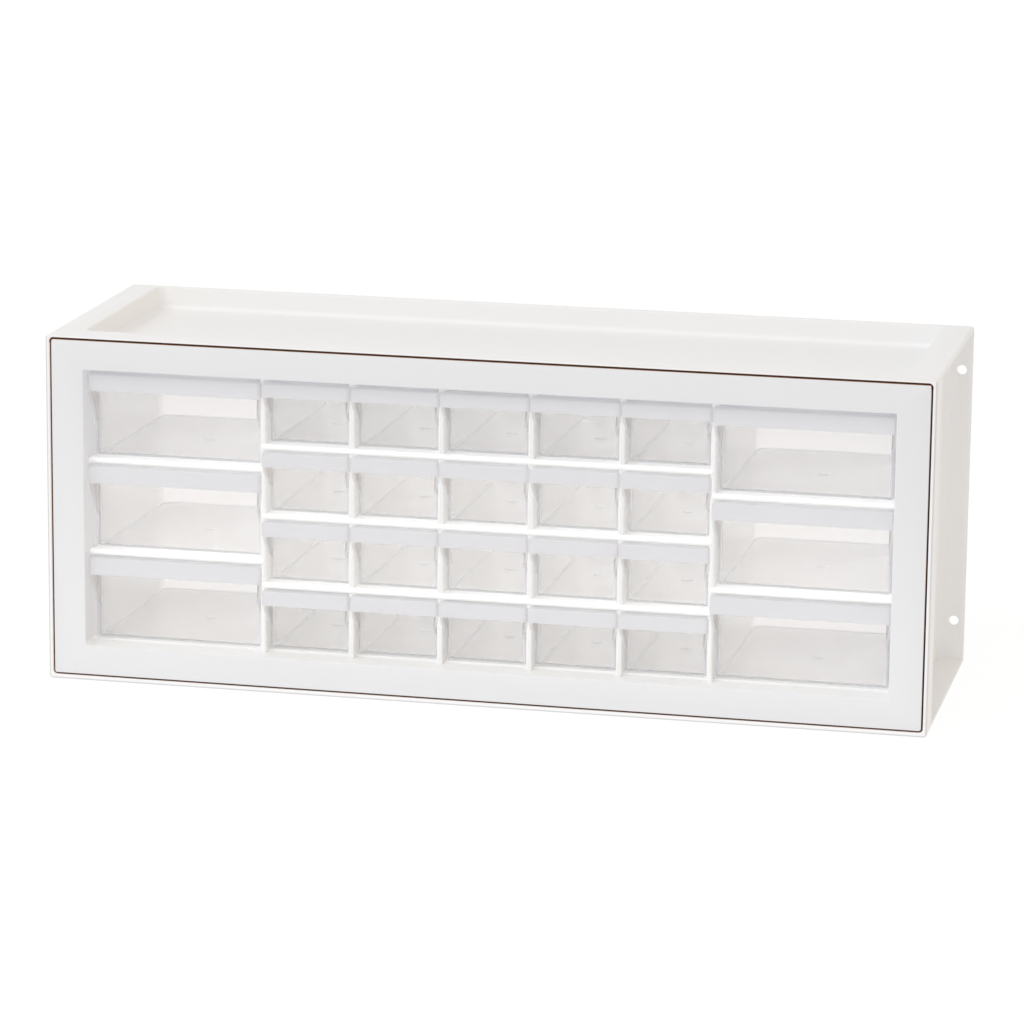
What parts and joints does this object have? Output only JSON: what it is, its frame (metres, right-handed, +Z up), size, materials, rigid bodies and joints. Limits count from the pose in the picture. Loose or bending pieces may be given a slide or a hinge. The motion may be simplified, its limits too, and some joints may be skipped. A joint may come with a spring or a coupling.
{
  "type": "parts drawer cabinet",
  "caption": "White bench or wall cabinet with clear slide-out drawers, wide at the sides and narrow in the middle, and a shallow tray on top, for sorting small parts.",
  "frame": {"origin": "middle of the underside of the case, on the surface that it stands on", "axes": "+X to the right along the length, +Y from the drawer fronts to the back, +Z up"},
  "size_m": [0.495, 0.163, 0.196],
  "materials": {
    "white_plastic": "fine satin",
    "clear_plastic": "clear and glossy"
  },
  "bodies": {
    "cabinet": {"outer_case": "white_plastic", "drawer_frame": "white_plastic", "divider_1": "white_plastic", "divider_2": "white_plastic", "divider_3": "white_plastic", "divider_4": "white_plastic", "divider_5": "white_plastic", "divider_6": "white_plastic", "small_shelf_1": "white_plastic", "small_shelf_2": "white_plastic", "small_shelf_3": "white_plastic", "large_shelf_left_1": "white_plastic", "large_shelf_right_1": "white_plastic", "large_shelf_left_2": "white_plastic", "large_shelf_right_2": "white_plastic"},
    "small_drawer_1_1": {"small_drawer_1_1": "clear_plastic"},
    "small_drawer_1_2": {"small_drawer_1_2": "clear_plastic"},
    "small_drawer_1_3": {"small_drawer_1_3": "clear_plastic"},
    "small_drawer_1_4": {"small_drawer_1_4": "clear_plastic"},
    "small_drawer_1_5": {"small_drawer_1_5": "clear_plastic"},
    "small_drawer_2_1": {"small_drawer_2_1": "clear_plastic"},
    "small_drawer_2_2": {"small_drawer_2_2": "clear_plastic"},
    "small_drawer_2_3": {"small_drawer_2_3": "clear_plastic"},
    "small_drawer_2_4": {"small_drawer_2_4": "clear_plastic"},
    "small_drawer_2_5": {"small_drawer_2_5": "clear_plastic"},
    "small_drawer_3_1": {"small_drawer_3_1": "clear_plastic"},
    "small_drawer_3_2": {"small_drawer_3_2": "clear_plastic"},
    "small_drawer_3_3": {"small_drawer_3_3": "clear_plastic"},
    "small_drawer_3_4": {"small_drawer_3_4": "clear_plastic"},
    "small_drawer_3_5": {"small_drawer_3_5": "clear_plastic"},
    "small_drawer_4_1": {"small_drawer_4_1": "clear_plastic"},
    "small_drawer_4_2": {"small_drawer_4_2": "clear_plastic"},
    "small_drawer_4_3": {"small_drawer_4_3": "clear_plastic"},
    "small_drawer_4_4": {"small_drawer_4_4": "clear_plastic"},
    "small_drawer_4_5": {"small_drawer_4_5": "clear_plastic"},
    "large_drawer_left_1": {"large_drawer_left_1": "clear_plastic"},
    "large_drawer_right_1": {"large_drawer_right_1": "clear_plastic"},
    "large_drawer_left_2": {"large_drawer_left_2": "clear_plastic"},
    "large_drawer_right_2": {"large_drawer_right_2": "clear_plastic"},
    "large_drawer_left_3": {"large_drawer_left_3": "clear_plastic"},
    "large_drawer_right_3": {"large_drawer_right_3": "clear_plastic"}
  },
  "joints": [
    {"name": "small_drawer_1_1_slide", "type": "slide", "parent": "cabinet", "child": "small_drawer_1_1", "axis": [0, -1, 0], "range_m": [0, 0.11]},
    {"name": "small_drawer_1_2_slide", "type": "slide", "parent": "cabinet", "child": "small_drawer_1_2", "axis": [0, -1, 0], "range_m": [0, 0.11]},
    {"name": "small_drawer_1_3_slide", "type": "slide", "parent": "cabinet", "child": "small_drawer_1_3", "axis": [0, -1, 0], "range_m": [0, 0.11]},
    {"name": "small_drawer_1_4_slide", "type": "slide", "parent": "cabinet", "child": "small_drawer_1_4", "axis": [0, -1, 0], "range_m": [0, 0.11]},
    {"name": "small_drawer_1_5_slide", "type": "slide", "parent": "cabinet", "child": "small_drawer_1_5", "axis": [0, -1, 0], "range_m": [0, 0.11]},
    {"name": "small_drawer_2_1_slide", "type": "slide", "parent": "cabinet", "child": "small_drawer_2_1", "axis": [0, -1, 0], "range_m": [0, 0.11]},
    {"name": "small_drawer_2_2_slide", "type": "slide", "parent": "cabinet", "child": "small_drawer_2_2", "axis": [0, -1, 0], "range_m": [0, 0.11]},
    {"name": "small_drawer_2_3_slide", "type": "slide", "parent": "cabinet", "child": "small_drawer_2_3", "axis": [0, -1, 0], "range_m": [0, 0.11]},
    {"name": "small_drawer_2_4_slide", "type": "slide", "parent": "cabinet", "child": "small_drawer_2_4", "axis": [0, -1, 0], "range_m": [0, 0.11]},
    {"name": "small_drawer_2_5_slide", "type": "slide", "parent": "cabinet", "child": "small_drawer_2_5", "axis": [0, -1, 0], "range_m": [0, 0.11]},
    {"name": "small_drawer_3_1_slide", "type": "slide", "parent": "cabinet", "child": "small_drawer_3_1", "axis": [0, -1, 0], "range_m": [0, 0.11]},
    {"name": "small_drawer_3_2_slide", "type": "slide", "parent": "cabinet", "child": "small_drawer_3_2", "axis": [0, -1, 0], "range_m": [0, 0.11]},
    {"name": "small_drawer_3_3_slide", "type": "slide", "parent": "cabinet", "child": "small_drawer_3_3", "axis": [0, -1, 0], "range_m": [0, 0.11]},
    {"name": "small_drawer_3_4_slide", "type": "slide", "parent": "cabinet", "child": "small_drawer_3_4", "axis": [0, -1, 0], "range_m": [0, 0.11]},
    {"name": "small_drawer_3_5_slide", "type": "slide", "parent": "cabinet", "child": "small_drawer_3_5", "axis": [0, -1, 0], "range_m": [0, 0.11]},
    {"name": "small_drawer_4_1_slide", "type": "slide", "parent": "cabinet", "child": "small_drawer_4_1", "axis": [0, -1, 0], "range_m": [0, 0.11]},
    {"name": "small_drawer_4_2_slide", "type": "slide", "parent": "cabinet", "child": "small_drawer_4_2", "axis": [0, -1, 0], "range_m": [0, 0.11]},
    {"name": "small_drawer_4_3_slide", "type": "slide", "parent": "cabinet", "child": "small_drawer_4_3", "axis": [0, -1, 0], "range_m": [0, 0.11]},
    {"name": "small_drawer_4_4_slide", "type": "slide", "parent": "cabinet", "child": "small_drawer_4_4", "axis": [0, -1, 0], "range_m": [0, 0.11]},
    {"name": "small_drawer_4_5_slide", "type": "slide", "parent": "cabinet", "child": "small_drawer_4_5", "axis": [0, -1, 0], "range_m": [0, 0.11]},
    {"name": "large_drawer_left_1_slide", "type": "slide", "parent": "cabinet", "child": "large_drawer_left_1", "axis": [0, -1, 0], "range_m": [0, 0.11]},
    {"name": "large_drawer_right_1_slide", "type": "slide", "parent": "cabinet", "child": "large_drawer_right_1", "axis": [0, -1, 0], "range_m": [0, 0.11]},
    {"name": "large_drawer_left_2_slide", "type": "slide", "parent": "cabinet", "child": "large_drawer_left_2", "axis": [0, -1, 0], "range_m": [0, 0.11]},
    {"name": "large_drawer_right_2_slide", "type": "slide", "parent": "cabinet", "child": "large_drawer_right_2", "axis": [0, -1, 0], "range_m": [0, 0.11]},
    {"name": "large_drawer_left_3_slide", "type": "slide", "parent": "cabinet", "child": "large_drawer_left_3", "axis": [0, -1, 0], "range_m": [0, 0.11]},
    {"name": "large_drawer_right_3_slide", "type": "slide", "parent": "cabinet", "child": "large_drawer_right_3", "axis": [0, -1, 0], "range_m": [0, 0.11]}
  ]
}
